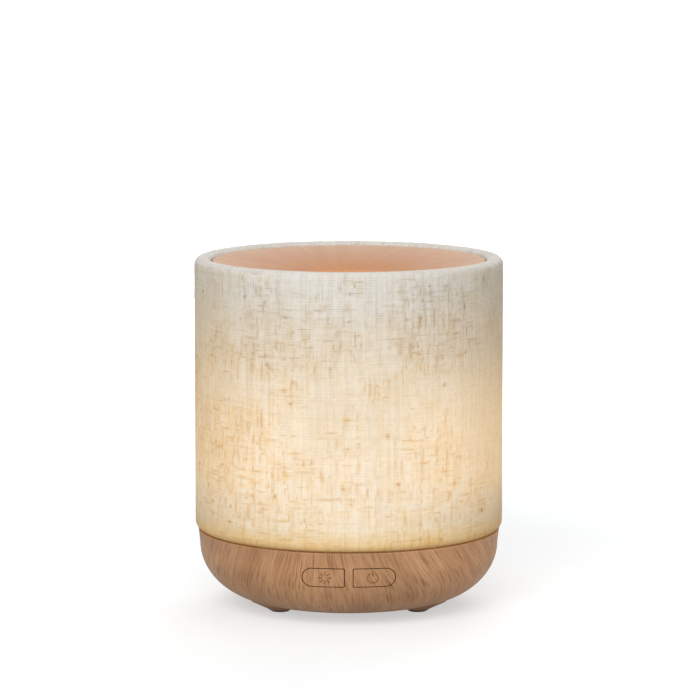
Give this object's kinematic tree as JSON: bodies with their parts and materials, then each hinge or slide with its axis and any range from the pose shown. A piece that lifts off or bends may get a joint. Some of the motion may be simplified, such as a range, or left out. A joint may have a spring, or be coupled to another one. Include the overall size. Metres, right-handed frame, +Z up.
{
  "type": "essential oil diffuser",
  "caption": "Tabletop ultrasonic oil diffuser: lift-off linen shade with a funnel top over a water tank, on a round wood-grain bowl base with two front buttons.",
  "frame": {"origin": "on the table, on the object's vertical axis, level with the undersides of the foot pads", "axes": "+Z up; -Y is the front, where the two buttons are; +Y is the back, where the power inlet is; +X is to the right of someone facing the front"},
  "size_m": [0.105, 0.105, 0.12],
  "materials": {
    "linen": "undyed linen weave with slubs",
    "diffusing_plastic": "translucent white moulding that spreads the light",
    "wood_grain_plastic": "printed light oak grain, satin",
    "milky_plastic": "translucent milky polypropylene",
    "steel": "zinc-plated",
    "bright_metal": "nickel-plated",
    "silicone": "pale silicone",
    "dark_rubber": "dark rubber",
    "black_plastic": "fine texture",
    "grey_plastic": "fine texture",
    "white_plastic": "natural nylon",
    "label": "blank satin film",
    "circuit_board": "green solder mask",
    "white_board": "white solder mask",
    "lamp_phosphor": "warm white lamps",
    "bronze": "sintered bronze",
    "copper": "enamelled copper",
    "magnet": "ferrite",
    "can_metal": "satin",
    "wire_jacket": "insulated wire"
  },
  "bodies": {
    "base": {"water_tank": "milky_plastic", "mist_disc": "bright_metal", "mist_disc_seal": "silicone", "mist_disc_clamp": "black_plastic", "mist_disc_screws": "steel", "deck_gasket": "silicone", "base_shell": "wood_grain_plastic", "rating_label": "label", "foot_pads": "dark_rubber", "housing_screws": "steel", "switch_bodies": "black_plastic", "button_board": "circuit_board", "board_header": "black_plastic", "fan_gasket": "dark_rubber", "fan_housing": "black_plastic", "fan_bearing": "bronze", "fan_stator": "copper", "fan_screws": "steel", "air_duct": "grey_plastic", "duct_seal": "dark_rubber", "main_board": "circuit_board", "board_screws": "steel", "inductor": "magnet", "capacitors": "can_metal", "chips": "black_plastic", "driver_transistor": "black_plastic", "heatsink": "can_metal", "wire_connectors": "white_plastic", "led_wires": "wire_jacket", "mist_disc_wires": "wire_jacket", "fan_wires": "wire_jacket", "power_wires": "wire_jacket", "led_board": "white_board", "leds": "lamp_phosphor", "led_board_screws": "steel", "dc_jack": "black_plastic", "jack_pin": "bright_metal", "jack_terminals": "bright_metal", "jack_nut": "bright_metal"},
    "shade": {"shade_fabric": "linen", "shade_shell": "diffusing_plastic", "top_dish": "wood_grain_plastic", "mist_spout": "wood_grain_plastic", "dish_screws": "steel"},
    "lid": {"inner_lid": "milky_plastic", "mist_pipe": "milky_plastic", "splash_baffle": "milky_plastic"},
    "light_button": {"light_button": "wood_grain_plastic", "light_switch_plunger": "black_plastic"},
    "mist_button": {"mist_button": "wood_grain_plastic", "mist_switch_plunger": "black_plastic"},
    "fan_rotor": {"fan_rotor": "black_plastic", "fan_shaft": "steel", "rotor_magnet": "magnet"}
  },
  "joints": [
    {"name": "lid_lift", "type": "slide", "parent": "base", "child": "lid", "axis": [0, 0, 1], "range_m": [0, 0.04]},
    {"name": "shade_lift", "type": "slide", "parent": "lid", "child": "shade", "axis": [0, 0, 1], "range_m": [0, 0.09]},
    {"name": "light_button_press", "type": "slide", "parent": "base", "child": "light_button", "axis": [0, 1, 0], "range_m": [0, 0.0005], "stiffness_N_per_m": 150, "springref_m": -0.0005},
    {"name": "mist_button_press", "type": "slide", "parent": "base", "child": "mist_button", "axis": [0, 1, 0], "range_m": [0, 0.0005], "stiffness_N_per_m": 150, "springref_m": -0.0005},
    {"name": "fan_spin", "type": "hinge", "parent": "base", "child": "fan_rotor", "pos_m": [0.01325, 0.00765, 0.0091], "axis": [0, 0, 1], "continuous": true}
  ]
}
